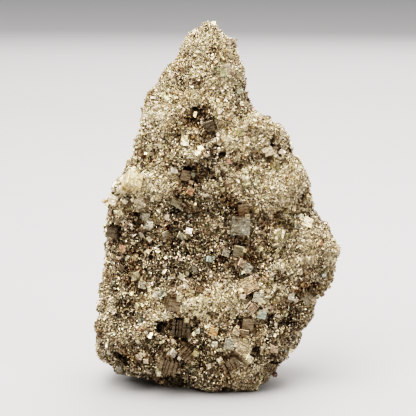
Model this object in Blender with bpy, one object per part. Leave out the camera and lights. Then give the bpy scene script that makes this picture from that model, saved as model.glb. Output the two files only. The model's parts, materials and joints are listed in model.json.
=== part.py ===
"""A free-standing pyrite specimen: one intergrown crystal mass with a flat cut under it.

Run with: blender --background --python part.py

The mass is lofted through horizontal sections, then lumps, ledges, hollows and pits are
worked into its skin. Larger crystals, all cubes as pyrite grows them, stand out of that skin
and are joined to it, so the whole specimen is one closed solid.

Metres, +Z up. The origin is at the middle of the footprint, on the surface that it stands on.
-Y is the side with the big hollow and the best crystals.
"""

import math
import random

import bmesh
import bpy
from mathutils import Euler, Matrix, Vector, noise
from mathutils.bvhtree import BVHTree

MM = 0.001
INTO_FRONT = Vector((0, 1, 0))
OUTSIDE = 150.0  # from here, in mm, rays are sent to the skin

# ---------------------------------------------------------------- driving dimensions, in mm

# The plain form: height above the base, then how far the section reaches to the left (-X),
# to the right (+X), to the front (-Y) and to the back (+Y).
SECTIONS = (
    (-6.0, -26.0, 18.0, -20.0, 20.0),
    (0.0, -37.0, 24.5, -29.0, 26.0),
    (5.0, -52.0, 29.0, -33.0, 31.0),
    (11.0, -59.0, 35.0, -36.5, 34.0),
    (19.0, -63.0, 42.0, -37.5, 37.0),
    (29.0, -63.5, 46.5, -37.5, 39.0),
    (41.0, -61.0, 52.5, -35.0, 40.0),
    (54.0, -60.0, 59.5, -31.0, 40.0),
    (68.0, -59.0, 65.5, -29.0, 39.0),
    (79.0, -59.0, 57.0, -28.0, 37.0),
    (87.0, -57.5, 50.0, -28.0, 35.5),
    (95.0, -57.0, 48.5, -28.0, 34.0),
    (103.0, -54.0, 49.5, -28.5, 32.5),
    (110.0, -47.0, 46.0, -28.5, 31.0),
    (120.0, -43.0, 38.5, -27.0, 28.5),
    (134.0, -41.0, 31.5, -24.5, 25.5),
    (140.0, -40.0, 19.0, -23.0, 23.5),
    (150.0, -34.5, 14.5, -20.0, 20.5),
    (161.0, -26.0, 12.0, -16.5, 16.5),
    (171.5, -18.5, 11.5, -13.0, 13.0),
    (178.0, -15.0, 6.5, -9.0, 9.0),
    (183.0, -10.5, 0.0, -5.0, 5.5),
    (185.5, -8.0, -4.0, -1.5, 2.0),
)
SECTION_SQUARENESS = 2.35  # exponent of each section's outline: 2 is an ellipse
RING_POINTS = 96
RING_SPACING = 2.4

# Lumps (rise above 0) and hollows (rise below 0) on the two broad sides:
# x and height of the middle, half width, half height, rise.
FRONT_FORMS = (
    (-47.0, 32.0, 25.0, 24.0, 5.0),  # round shoulder, low on the left
    (1.0, 49.0, 21.0, 10.0, 8.0),  # ledge below the big hollow
    (-22.0, 45.0, 12.0, 9.0, 5.0),  # the ledge's left end
    (13.0, 12.0, 20.0, 14.0, 4.5),  # foot
    (-27.0, 1.0, 27.0, 14.0, -9.0),  # undercut to the left of the foot
    (14.0, 26.0, 12.0, 8.0, 3.0),  # bulge above the foot
    (-9.0, 121.0, 17.0, 7.0, 5.5),  # brow above the big hollow
    (-41.0, 104.0, 13.0, 11.0, 5.0),  # left shoulder
    (35.0, 104.0, 16.0, 12.0, 4.5),  # right shoulder
    (49.0, 74.0, 15.0, 14.0, 5.0),  # right lobe
    (29.0, 133.0, 11.0, 8.0, 4.5),  # lobe below the neck
    (-22.0, 139.0, 15.0, 15.0, 3.5),  # smooth flank of the peak
    (2.0, 158.0, 12.0, 9.0, 3.5),  # rib of the peak
    (-5.0, 86.0, 33.0, 22.0, -9.0),  # the big hollow
    (20.0, 72.0, 19.0, 13.0, -5.5),  # its lower right arm
    (-38.0, 74.0, 14.0, 11.0, -4.5),  # its left arm
    (-9.0, 111.0, 13.0, 5.0, -6.5),  # under the brow
    (-9.0, 139.0, 10.0, 6.0, -6.0),  # cleft in the peak
    (23.0, 119.0, 12.0, 7.0, -5.0),  # below the lobe of the neck
    (34.0, 42.0, 15.0, 16.0, -6.5),  # between the ledge and the right flank
    (-18.0, 32.0, 13.0, 8.0, -7.0),  # cave of the striated cube
    (30.0, 84.0, 8.0, 7.0, -4.0),
)
BACK_FORMS = (
    (30.0, 40.0, 24.0, 20.0, 5.5),
    (-28.0, 58.0, 26.0, 22.0, 5.0),
    (-8.0, 20.0, 24.0, 14.0, 4.0),
    (8.0, 100.0, 22.0, 16.0, 4.5),
    (-16.0, 138.0, 14.0, 14.0, 3.5),
    (2.0, 66.0, 18.0, 24.0, -6.5),
    (-34.0, 92.0, 14.0, 12.0, -4.5),
    (30.0, 76.0, 14.0, 11.0, -5.0),
    (-2.0, 122.0, 12.0, 8.0, -4.0),
    (-40.0, 26.0, 12.0, 11.0, -4.5),
)

# Deep pits, as x, height, radius and depth: on the front, then on the back.
FRONT_PITS = (
    (-46.0, 43.5, 6.0, 6.5),
    (-40.0, 87.5, 4.0, 5.0),
    (-1.0, 171.5, 2.4, 2.5),
    (-9.0, 141.0, 3.8, 3.5),
    (0.0, 123.0, 3.4, 4.0),
    (29.0, 124.0, 4.0, 4.0),
    (10.8, 116.2, 3.2, 4.0),
    (-12.0, 113.5, 4.6, 5.0),
    (21.5, 88.0, 4.2, 4.5),
    (36.0, 85.5, 3.6, 3.5),
    (-17.0, 74.0, 4.0, 4.5),
    (0.0, 68.5, 3.8, 4.0),
    (33.0, 68.0, 3.8, 4.0),
    (-25.0, 35.5, 4.2, 6.0),
    (-11.5, 38.0, 4.0, 6.0),
    (-3.0, 43.0, 2.6, 4.0),
    (9.5, 38.0, 3.4, 4.5),
    (27.0, 36.5, 3.8, 4.5),
    (36.0, 35.5, 3.4, 4.0),
    (19.0, 23.5, 3.2, 4.0),
    (48.5, 52.0, 4.0, 4.0),
    (-48.0, 18.5, 3.8, 4.0),
)
BACK_PITS = (
    (20.0, 96.0, 4.6, 5.0),
    (-24.0, 76.0, 4.2, 4.5),
    (-6.0, 44.0, 4.8, 5.5),
    (28.0, 54.0, 4.0, 4.5),
    (-12.0, 118.0, 3.6, 4.0),
    (-36.0, 38.0, 4.0, 4.5),
    (6.0, 18.0, 3.8, 4.0),
)

# A pit is what room crystals leave between them: blocks that cross, sized by its radius.
PIT_BLOCKS = 2
PIT_WIDE = (1.5, 2.2)
PIT_FLAT = (0.7, 1.3)
PIT_LEAN = 0.8  # radians
PIT_SPREAD = 0.45

# Clumps: the grain of the mass, as (cell size, height) from coarse to fine.
CLUMPS = ((19.0, 6.5), (9.0, 3.4))
CLUMP_CREST = 0.5  # a clump is cut off flat this far in from its creases, in cells
CLUMP_LEVEL = 0.33  # and this height of it lies on the plain form
FORM_FACING = 1.6  # how soon the broad sides' forms fade as the skin turns to the flanks

SKIN_VOXEL = 1.6
SKIN_SHARE = 0.0555  # of the remeshed faces, what the simplified skin keeps

# Crystals that stand out on the front: x, height, edge length, turns about X, Y and Z in
# degrees, and how much of the edge length shows.
FRONT_CRYSTALS = (
    (-42.0, 107.0, 8.5, -32, 24, 18, 0.50),
    (-44.0, 97.0, 4.5, 20, 35, 30, 0.55),
    (-38.5, 96.0, 5.5, -12, -20, 10, 0.50),
    (-51.5, 95.5, 6.5, -20, 15, -35, 0.45),
    (-36.0, 89.5, 4.2, 5, 10, 25, 0.60),
    (-34.0, 85.0, 3.8, -40, 20, 15, 0.60),
    (-51.5, 80.5, 7.0, 12, 8, -28, 0.50),
    (-47.5, 71.5, 3.6, -10, 20, -20, 0.65),
    (-16.0, 110.5, 6.0, 8, 12, 16, 0.55),
    (-21.5, 112.5, 3.6, -35, 10, 20, 0.60),
    (-19.5, 97.5, 5.6, 14, 28, -14, 0.50),
    (-13.5, 102.5, 3.4, -15, 30, 10, 0.60),
    (-14.0, 81.0, 3.8, -38, 8, -12, 0.60),
    (-8.0, 82.5, 3.6, -30, 28, 22, 0.65),
    (-18.5, 79.5, 4.0, -8, 30, 20, 0.50),
    (-25.5, 80.5, 4.0, -6, -24, 16, 0.50),
    (-2.0, 85.0, 5.4, -26, -14, 20, 0.55),
    (-4.5, 68.5, 3.8, -20, 15, 30, 0.60),
    (11.0, 85.0, 9.5, -5, 3, 8, 0.45),
    (12.5, 93.5, 6.2, 10, -6, 12, 0.50),
    (11.0, 72.5, 6.2, 6, 10, -10, 0.50),
    (11.5, 66.5, 4.2, -14, 30, 22, 0.60),
    (15.5, 64.0, 4.8, -10, 32, -14, 0.60),
    (4.0, 71.5, 4.2, -8, 22, 14, 0.60),
    (25.0, 120.5, 5.2, -28, -14, 20, 0.50),
    (-3.5, 135.0, 6.0, 14, -16, -12, 0.55),
    (31.5, 80.5, 4.8, -20, 12, -16, 0.60),
    (45.5, 84.0, 5.5, -34, 20, -24, 0.45),
    (-38.0, 54.5, 4.4, -20, 18, 22, 0.50),
    (-31.0, 49.5, 3.4, -42, 30, 10, 0.60),
    (-27.5, 51.5, 3.8, -24, -28, 16, 0.60),
    (-22.0, 48.0, 7.5, 10, 14, 16, 0.45),
    (-9.5, 54.5, 4.2, -18, 20, 14, 0.50),
    (-18.0, 36.0, 9.2, 4, 5, 14, 0.60),
    (-1.5, 34.0, 4.4, -6, 14, -18, 0.60),
    (-22.5, 22.5, 3.6, -30, 44, 20, 0.60),
    (-14.0, 23.5, 7.5, 20, 38, 12, 0.45),
    (-24.0, 17.5, 9.0, 24, 12, 10, 0.35),
    (15.5, 54.5, 9.2, -34, -24, 14, 0.45),
    (19.5, 49.5, 6.0, -24, 16, 12, 0.50),
    (18.0, 45.0, 5.2, -14, 40, -20, 0.50),
    (21.5, 42.0, 5.0, 6, 14, 20, 0.60),
    (14.5, 37.5, 6.4, 8, 6, 16, 0.50),
    (13.5, 33.0, 5.4, 10, 6, -14, 0.55),
    (9.0, 33.5, 4.2, -22, 26, 10, 0.55),
    (5.5, 28.0, 5.6, -12, 18, 14, 0.50),
    (11.5, 24.0, 8.5, -34, 36, 10, 0.35),
    (6.0, 19.0, 8.0, 18, -30, 12, 0.40),
    (27.5, 23.5, 4.4, -18, 12, 26, 0.55),
    (27.0, 13.5, 6.0, 20, 16, 18, 0.45),
    (46.0, 46.5, 6.4, -10, 44, -20, 0.45),
    (36.5, 47.5, 3.6, -36, 10, 20, 0.55),
    (-3.5, 61.5, 4.2, -40, 6, 14, 0.55),
)

# Clusters of crystals go round the mass in a spiral. Each is a few cubes that lean together.
CLUSTERS = 40
CLUSTER_HEIGHTS = (8.0, 172.0)
CLUSTER_CRYSTALS = (1, 4)  # fewest and most
CLUSTER_LEAN = 0.5  # radians, between neighbours
CLUSTER_TAPER = 0.55  # the smallest cube of a cluster, as a share of its largest
CLUSTER_SPREAD = 6.5
CLUSTER_EDGE = (3.0, 6.6)  # smallest and largest edge length
CLUSTER_SHOWS = (0.30, 0.52)
FRONT_FAN = 34.0  # degrees to each side of -Y where the spiral stays above the brow
BROW_HEIGHT = 106.0
GOLDEN_ANGLE = 137.508
SEED = 11

GROUND_BLOCK = 300.0

PALE_BRASS = (0.62, 0.54, 0.39, 1.0)
ROUGHNESS = 0.35


# ---------------------------------------------------------------- the plain form


def section_at(height):
    """Left, right, front and back reach at this height, eased between the sections."""
    above = next(i for i, s in enumerate(SECTIONS) if s[0] >= height)
    low, high = SECTIONS[max(above - 1, 0)], SECTIONS[above]
    span = max(high[0] - low[0], 1e-6)
    part = (height - low[0]) / span
    return [a + (b - a) * part for a, b in zip(low[1:], high[1:])]


def ring_at(height):
    """The points of one horizontal section, anticlockwise seen from above."""
    left, right, front, back = section_at(height)
    middle = Vector(((left + right) / 2, (front + back) / 2))
    half = Vector(((right - left) / 2, (back - front) / 2))
    power = 2 / SECTION_SQUARENESS
    points = []
    for step in range(RING_POINTS):
        angle = math.tau * step / RING_POINTS
        across, along = math.cos(angle), math.sin(angle)
        x = middle.x + half.x * math.copysign(abs(across) ** power, across)
        y = middle.y + half.y * math.copysign(abs(along) ** power, along)
        points.append(Vector((x, y, height)))
    return points


def loft(bm):
    """Rings from the base to the tip, bridged, with the two ends filled."""
    low, high = SECTIONS[0][0], SECTIONS[-1][0]
    count = round((high - low) / RING_SPACING)
    rings = []
    for level in range(count + 1):
        height = low + (high - low) * level / count
        rings.append([bm.verts.new(point) for point in ring_at(height)])
    for lower, upper in zip(rings, rings[1:]):
        for step in range(RING_POINTS):
            after = (step + 1) % RING_POINTS
            bm.faces.new((lower[step], lower[after], upper[after], upper[step]))
    bm.faces.new(reversed(rings[0]))
    bm.faces.new(rings[-1])


# ---------------------------------------------------------------- relief


def falloff(distance):
    """1 in the middle of a form, 0 from its rim outwards, smooth between."""
    return (1 - distance * distance) ** 2 if distance < 1 else 0.0


def forms_at(point, forms):
    total = 0.0
    for x, height, half_width, half_height, rise in forms:
        away = math.hypot((point.x - x) / half_width, (point.z - height) / half_height)
        total += rise * falloff(away)
    return total


def clumps_at(point):
    """Angular clumps: each is high in its cell and meets its neighbours in a crease."""
    total = 0.0
    for cell, height in CLUMPS:
        nearest, second = noise.voronoi(point / cell)[0][:2]
        total += height * (min(second - nearest, CLUMP_CREST) - CLUMP_LEVEL)
    return total


def relief(point, normal):
    """How far the skin moves outwards at this point, in mm."""
    facing_front = min(max(-FORM_FACING * normal.y, 0.0), 1.0)
    facing_back = min(max(FORM_FACING * normal.y, 0.0), 1.0)
    return (
        facing_front * forms_at(point, FRONT_FORMS)
        + facing_back * forms_at(point, BACK_FORMS)
        + clumps_at(point)
    )


def worked(bm, move):
    """Moves every vertex along its normal by move(point, normal)."""
    bm.normal_update()
    places = [v.co + v.normal * move(v.co, v.normal) for v in bm.verts]
    for vertex, place in zip(bm.verts, places):
        vertex.co = place


# ---------------------------------------------------------------- objects


def material(name, colour, roughness):
    made = bpy.data.materials.new(name)
    made.use_nodes = True
    shader = made.node_tree.nodes["Principled BSDF"]
    shader.inputs["Base Color"].default_value = colour
    shader.inputs["Metallic"].default_value = 1.0
    shader.inputs["Roughness"].default_value = roughness
    return made


def object_from(bm, name):
    """A mesh object from a bmesh that was worked on in millimetres."""
    bmesh.ops.scale(bm, vec=Vector((MM, MM, MM)), verts=bm.verts)
    mesh = bpy.data.meshes.new(name)
    bm.to_mesh(mesh)
    bm.free()
    made = bpy.data.objects.new(name, mesh)
    bpy.context.scene.collection.objects.link(made)
    return made


def as_helper(helper):
    """A cutter or a joined-on shape, which isn't a piece of its own."""
    helper.hide_render = True
    helper.display_type = "WIRE"
    return helper


def boolean(target, operation, other):
    cut = target.modifiers.new(other.name, "BOOLEAN")
    cut.operation = operation
    cut.object = other
    cut.solver = "EXACT"
    cut.use_self = True


def crystal_mass():
    """The mass with its relief, its skin evened out and simplified."""
    bm = bmesh.new()
    loft(bm)
    bmesh.ops.recalc_face_normals(bm, faces=bm.faces)
    worked(bm, relief)
    mass = object_from(bm, "pyrite_cluster")
    even = mass.modifiers.new("even_skin", "REMESH")
    even.mode = "VOXEL"
    even.voxel_size = SKIN_VOXEL * MM
    simple = mass.modifiers.new("simple_skin", "DECIMATE")
    simple.ratio = SKIN_SHARE
    return mass


def skin_of(body):
    """The evaluated skin, for setting pits and crystals on it."""
    graph = bpy.context.evaluated_depsgraph_get()
    return BVHTree.FromObject(body, graph)


def on_skin(skin, outside, direction):
    """Where a ray from outside meets the skin, in mm, or None."""
    hit = skin.ray_cast(outside * MM, direction)[0]
    return hit / MM if hit else None


def add_pit(bm, skin, x, height, radius, depth, direction, rng):
    """An angular hollow with its middle on the skin."""
    hit = on_skin(skin, Vector((x, -direction.y * OUTSIDE, height)), direction)
    if hit is None:
        return
    for _ in range(PIT_BLOCKS):
        size = Vector((rng.uniform(*PIT_WIDE) * radius, 2 * depth, rng.uniform(*PIT_FLAT) * radius))
        turn = Euler([rng.uniform(-1, 1) * PIT_LEAN for _ in range(3)]).to_matrix().to_4x4()
        aside = Vector((rng.uniform(-1, 1), 0, rng.uniform(-1, 1))) * radius * PIT_SPREAD
        place = Matrix.Translation(hit + aside) @ turn @ Matrix.Diagonal((*size, 1))
        bmesh.ops.create_cube(bm, size=1.0, matrix=place)


def add_crystal(bm, skin, outside, direction, edge, turn, shows):
    """A cube on the ray from outside, sunk so that this share of its edge length shows."""
    hit = on_skin(skin, outside, direction)
    if hit is None:
        return
    centre = hit + direction * edge * (0.5 - shows)
    place = Matrix.Translation(centre) @ turn.to_matrix().to_4x4()
    bmesh.ops.create_cube(bm, size=edge, matrix=place)


def add_front_crystals(bm, skin):
    for x, height, edge, *turns, shows in FRONT_CRYSTALS:
        turn = Euler([math.radians(angle) for angle in turns])
        outside = Vector((x, -OUTSIDE, height))
        add_crystal(bm, skin, outside, INTO_FRONT, edge, turn, shows)


def add_cluster(bm, skin, middle_height, angle, rng):
    """A few cubes that lean together, set on rays towards the Z axis."""
    smallest, largest = CLUSTER_EDGE
    size = smallest + (largest - smallest) * rng.random()
    turn = Euler([rng.uniform(0, math.pi / 2) for _ in range(3)])
    for _ in range(rng.randint(*CLUSTER_CRYSTALS)):
        height = middle_height + rng.uniform(-1, 1) * CLUSTER_SPREAD
        aside = rng.uniform(-1, 1) * CLUSTER_SPREAD
        edge = max(size * rng.uniform(CLUSTER_TAPER, 1.0), smallest)
        lean = Euler([part + rng.uniform(-1, 1) * CLUSTER_LEAN for part in turn])
        axis = Vector((0, 0, height))
        outwards = Vector((math.cos(angle), math.sin(angle), 0))
        across = Vector((-outwards.y, outwards.x, 0)) * aside
        shows = rng.uniform(*CLUSTER_SHOWS)
        add_crystal(bm, skin, axis + across + outwards * OUTSIDE, -outwards, edge, lean, shows)


def add_clusters(bm, skin):
    rng = random.Random(SEED)
    low, high = CLUSTER_HEIGHTS
    for count in range(CLUSTERS):
        height = low + (high - low) * (count + 0.5) / CLUSTERS
        angle = (GOLDEN_ANGLE * count) % 360
        in_front = abs(angle - 270) < FRONT_FAN
        if not (in_front and height < BROW_HEIGHT):
            add_cluster(bm, skin, height, math.radians(angle), rng)


def cut_pits(mass):
    skin = skin_of(mass)
    bm = bmesh.new()
    rng = random.Random(SEED)
    for pit in FRONT_PITS:
        add_pit(bm, skin, *pit, INTO_FRONT, rng)
    for pit in BACK_PITS:
        add_pit(bm, skin, *pit, -INTO_FRONT, rng)
    boolean(mass, "DIFFERENCE", as_helper(object_from(bm, "pits")))


def grow_crystals(mass):
    skin = skin_of(mass)
    bm = bmesh.new()
    add_front_crystals(bm, skin)
    add_clusters(bm, skin)
    boolean(mass, "UNION", as_helper(object_from(bm, "crystals")))


def island_of(face):
    """The faces that can be reached from this one across edges."""
    found = {face}
    waiting = [face]
    while waiting:
        for edge in waiting.pop().edges:
            for neighbour in edge.link_faces:
                if neighbour not in found:
                    found.add(neighbour)
                    waiting.append(neighbour)
    return found


def keep_outer_skin(mass):
    """Fills voids that crystals close in between them, and drops what the flat cut leaves loose."""
    bm = bmesh.new()
    bm.from_object(mass, bpy.context.evaluated_depsgraph_get())
    top_face = max(bm.faces, key=lambda face: face.calc_center_median().z)
    outer = island_of(top_face)
    inner = [face for face in bm.faces if face not in outer]
    bmesh.ops.delete(bm, geom=inner, context="FACES")
    mass.modifiers.clear()
    bm.to_mesh(mass.data)
    bm.free()


def cut_flat(mass):
    """Takes off everything below the surface that the specimen stands on."""
    bm = bmesh.new()
    middle = Matrix.Translation((0, 0, -GROUND_BLOCK / 2))
    bmesh.ops.create_cube(bm, size=GROUND_BLOCK, matrix=middle)
    boolean(mass, "DIFFERENCE", as_helper(object_from(bm, "ground_cut")))


def main():
    for old in list(bpy.data.objects):
        bpy.data.objects.remove(old)
    mass = crystal_mass()
    mass.data.materials.append(material("pale_brass_pyrite", PALE_BRASS, ROUGHNESS))
    cut_pits(mass)
    grow_crystals(mass)
    cut_flat(mass)
    keep_outer_skin(mass)


main()
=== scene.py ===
# %% [markdown]
# # A pyrite specimen, grain by grain
#
# Pyrite grows as cubes. Where many start at once they crowd each other into a sugary crust, and
# where there is room, in a hollow, a few grow large. This lesson dresses a plain faceted solid of
# such a specimen: a fine inner crust, a coat of tens of thousands of grains, and the larger
# crystals that catch the eye. Everything is in metres, and sizes are written in millimetres.

# %% Load the solid
import json
import math
import random
from contextlib import contextmanager

import bmesh
import bpy
import numpy as np
from mathutils import Euler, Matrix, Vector, noise
from mathutils.bvhtree import BVHTree

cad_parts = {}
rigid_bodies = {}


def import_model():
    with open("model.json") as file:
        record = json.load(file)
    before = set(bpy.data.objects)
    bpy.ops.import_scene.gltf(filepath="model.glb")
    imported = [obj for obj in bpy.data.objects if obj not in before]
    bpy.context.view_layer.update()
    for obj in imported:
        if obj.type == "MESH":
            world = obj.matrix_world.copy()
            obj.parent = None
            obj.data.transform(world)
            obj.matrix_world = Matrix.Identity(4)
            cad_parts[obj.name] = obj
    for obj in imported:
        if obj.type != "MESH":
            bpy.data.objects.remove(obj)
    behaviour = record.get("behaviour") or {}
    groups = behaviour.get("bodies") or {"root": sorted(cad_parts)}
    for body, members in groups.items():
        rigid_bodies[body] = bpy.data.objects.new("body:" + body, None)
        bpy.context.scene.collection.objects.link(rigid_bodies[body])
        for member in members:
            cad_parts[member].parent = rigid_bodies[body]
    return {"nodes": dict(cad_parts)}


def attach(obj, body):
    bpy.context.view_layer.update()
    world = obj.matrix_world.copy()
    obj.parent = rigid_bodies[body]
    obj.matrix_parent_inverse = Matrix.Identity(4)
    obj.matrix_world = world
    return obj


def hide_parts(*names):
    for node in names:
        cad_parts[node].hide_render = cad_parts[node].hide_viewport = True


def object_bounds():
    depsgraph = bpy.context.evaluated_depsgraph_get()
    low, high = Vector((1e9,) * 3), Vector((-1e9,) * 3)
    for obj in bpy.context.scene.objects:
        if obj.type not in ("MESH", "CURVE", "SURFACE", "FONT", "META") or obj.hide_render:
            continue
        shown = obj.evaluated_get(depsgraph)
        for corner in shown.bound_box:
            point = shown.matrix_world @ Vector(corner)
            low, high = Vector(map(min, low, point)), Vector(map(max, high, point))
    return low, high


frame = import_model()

MM = 0.001
SOLID = frame["nodes"]["pyrite_cluster"]
cad_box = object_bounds()
LOW, HIGH = (np.array(corner) for corner in cad_box)
print("the solid reaches from", LOW.round(4), "to", HIGH.round(4))

# %% [markdown]
# ## Helpers for modelling by hand
#
# An operator works on whatever is selected, so one helper selects a single object and makes it
# active, and another opens edit mode for it and closes it again. Modifiers are applied as soon as
# they are set, so that each finished piece is a plain mesh whose place is in its vertices.


# %% Select, edit, apply, measure
def only(piece):
    """Selects this object alone and makes it the active one."""
    for other in bpy.context.view_layer.objects:
        other.select_set(False)
    piece.select_set(True)
    bpy.context.view_layer.objects.active = piece
    return piece


@contextmanager
def editing(piece):
    """Edit mode for this piece, with all of it selected."""
    only(piece)
    bpy.ops.object.mode_set(mode="EDIT")
    bpy.ops.mesh.select_all(action="SELECT")
    yield
    bpy.ops.object.mode_set(mode="OBJECT")


def in_scene(name, data):
    """An object in the scene for this mesh, lamp or camera."""
    piece = bpy.data.objects.new(name, data)
    bpy.context.scene.collection.objects.link(piece)
    return piece


def apply_modifier(piece, kind, **settings):
    """Adds a modifier with these settings and applies it."""
    only(piece)
    modifier = piece.modifiers.new(kind.lower(), kind)
    for name, value in settings.items():
        setattr(modifier, name, value)
    bpy.ops.object.modifier_apply(modifier=modifier.name)


def points_of(mesh):
    """A mesh's vertices as rows of x, y and z."""
    return rows_of(mesh.vertices, "co")


def rows_of(elements, name):
    """One vector of each vertex or face, as rows of x, y and z."""
    values = np.empty(len(elements) * 3, np.float32)
    elements.foreach_get(name, values)
    return values.reshape(-1, 3).astype(float)


def note(mesh, name, values):
    """Keeps a number for each vertex, for the material to read."""
    kept = mesh.attributes.new(name, "FLOAT", "POINT")
    kept.data.foreach_set("value", values.astype(np.float32))


def move_to(piece, points):
    """Puts a piece's vertices at these points."""
    piece.data.vertices.foreach_set("co", points.ravel())
    piece.data.update()


# %% [markdown]
# ## The inner crust
#
# Behind the grains lies a rough, dark ground that shows in every gap. It could be the solid
# itself, but its facets are far too large. A voxel remesh turns a copy of it into even small
# squares, which can then take a relief of their own.

# %% Remesh a copy
CRUST_VOXEL = 0.8 * MM
SAME_CORNER = 1e-7


def crust_from(solid):
    crust = solid.copy()
    crust.data = solid.data.copy()
    crust.name = "inner_crust"
    crust.parent = None
    bpy.context.scene.collection.objects.link(crust)
    with editing(crust):
        bpy.ops.mesh.remove_doubles(threshold=SAME_CORNER)
    apply_modifier(crust, "REMESH", mode="VOXEL", voxel_size=CRUST_VOXEL)
    return crust


crust = crust_from(SOLID)
print("inner crust:", len(crust.data.polygons), "squares")

# %% [markdown]
# ## Where the hollows are
#
# The grains change with the place they grow in: even and pale on the bulges, larger, browner and
# more tarnished in the hollows. A very coarse remesh of the same solid bridges the hollows, so
# the distance from a point to that envelope says how sunken the point is.

# %% Measure how sunken a point is
ENVELOPE_VOXEL = 7 * MM
ENVELOPE_SMOOTH = {"factor": 0.5, "iterations": 30}
HOLLOW_DEPTH = 5.0 * MM


def envelope_of(solid):
    envelope = crust_from(solid)
    apply_modifier(envelope, "REMESH", mode="VOXEL", voxel_size=ENVELOPE_VOXEL)
    apply_modifier(envelope, "SMOOTH", **ENVELOPE_SMOOTH)
    tree = BVHTree.FromObject(envelope, bpy.context.evaluated_depsgraph_get())
    bpy.data.objects.remove(envelope)
    return tree


envelope = envelope_of(SOLID)


def under_envelope(points):
    """How deep each point lies under the envelope, and the way out from there."""
    depths = np.empty(len(points))
    ways_out = np.empty((len(points), 3))
    for row, point in enumerate(points):
        near, normal, _, _ = envelope.find_nearest(Vector(point))
        depths[row] = (near - Vector(point)).dot(normal)
        ways_out[row] = normal
    return depths, ways_out


def sunken(points):
    """For each point, 0 on a bulge, 0.5 on the mean skin and 1 deep in a hollow."""
    return np.clip(0.5 + under_envelope(points)[0] / (2 * HOLLOW_DEPTH), 0, 1)


# %% [markdown]
# ## Lumps, swells, nodules and pores
#
# Now the crust gets its relief, by four displacements. Where it is sunken the lumps stand apart
# with deep creases between them, and on the bulges they merge, so a vertex group carries how
# sunken each corner is, and the lumps and the nodules follow it.

# %% Press the relief in
RELIEF_LEVELS = 8
ON_BULGES = 0.2  # of the relief that a hollow gets
RELIEF = (
    # name, kind, size, setting, its value, depth, level that stays in place, vertex group
    ("lumps", "VORONOI", 7.5, "distance_metric", "MANHATTAN", -3.0, 0.28, "sunken"),
    ("swells", "CLOUDS", 10.0, "noise_depth", 1, 1.6, 0.50, ""),
    ("nodules", "VORONOI", 3.2, "distance_metric", "CHEBYCHEV", -1.7, 0.15, "sunken"),
    ("pores", "CLOUDS", 1.6, "noise_depth", 2, 1.0, 0.75, ""),
)

group = crust.vertex_groups.new(name="sunken")
corner_levels = np.round(sunken(points_of(crust.data)) * RELIEF_LEVELS)
for level in range(RELIEF_LEVELS + 1):
    here = np.flatnonzero(corner_levels == level)
    group.add(here.tolist(), ON_BULGES + (1 - ON_BULGES) * level / RELIEF_LEVELS, "REPLACE")

for name, kind, size, setting, value, depth, level, followed in RELIEF:
    pattern = bpy.data.textures.new(name, kind)
    pattern.noise_scale = size * MM
    setattr(pattern, setting, value)
    settings = {"texture": pattern, "strength": depth * MM, "mid_level": level}
    apply_modifier(crust, "DISPLACE", texture_coords="LOCAL", vertex_group=followed, **settings)
print("relief:", [row[0] for row in RELIEF])

# %% [markdown]
# A displacement can reach too far. The bottoms of the pits are raised again by a share of what
# they are deeper than the rest, as small crystals fill them, and what would leave the solid's box
# is brought back to it. Near the ground the crust is made flat, to stand on.

# %% Fill and trim
FILL_FROM = 2.8 * MM
FILL_SHARE = 0.5
CRUST_INSET = 0.25 * MM
FLAT_UNDER = 1.2 * MM


def fill_deepest(piece):
    """Raises the bottoms of the pits."""
    ground = points_of(piece.data)
    depths, ways_out = under_envelope(ground)
    ground += ways_out * (np.clip(depths - FILL_FROM, 0, None) * FILL_SHARE)[:, None]
    move_to(piece, ground)


def trim(piece):
    """Keeps the skin inside the solid's box and flattens what it stands on."""
    ground = np.clip(points_of(piece.data), LOW + CRUST_INSET, HIGH - CRUST_INSET)
    ground[ground[:, 2] < FLAT_UNDER, 2] = 0.0
    move_to(piece, ground)


fill_deepest(crust)
trim(crust)
print("the crust reaches from", points_of(crust.data).min(0), "to", points_of(crust.data).max(0))

# %% [markdown]
# ## The large crystals
#
# The solid already has every large cube in its place. A ray through a cube's middle meets its
# face, and the cube's turn says how far behind that face the middle is, so each one can be found
# again and given a crisp form. The lists and numbers repeat the solid's own.

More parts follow.
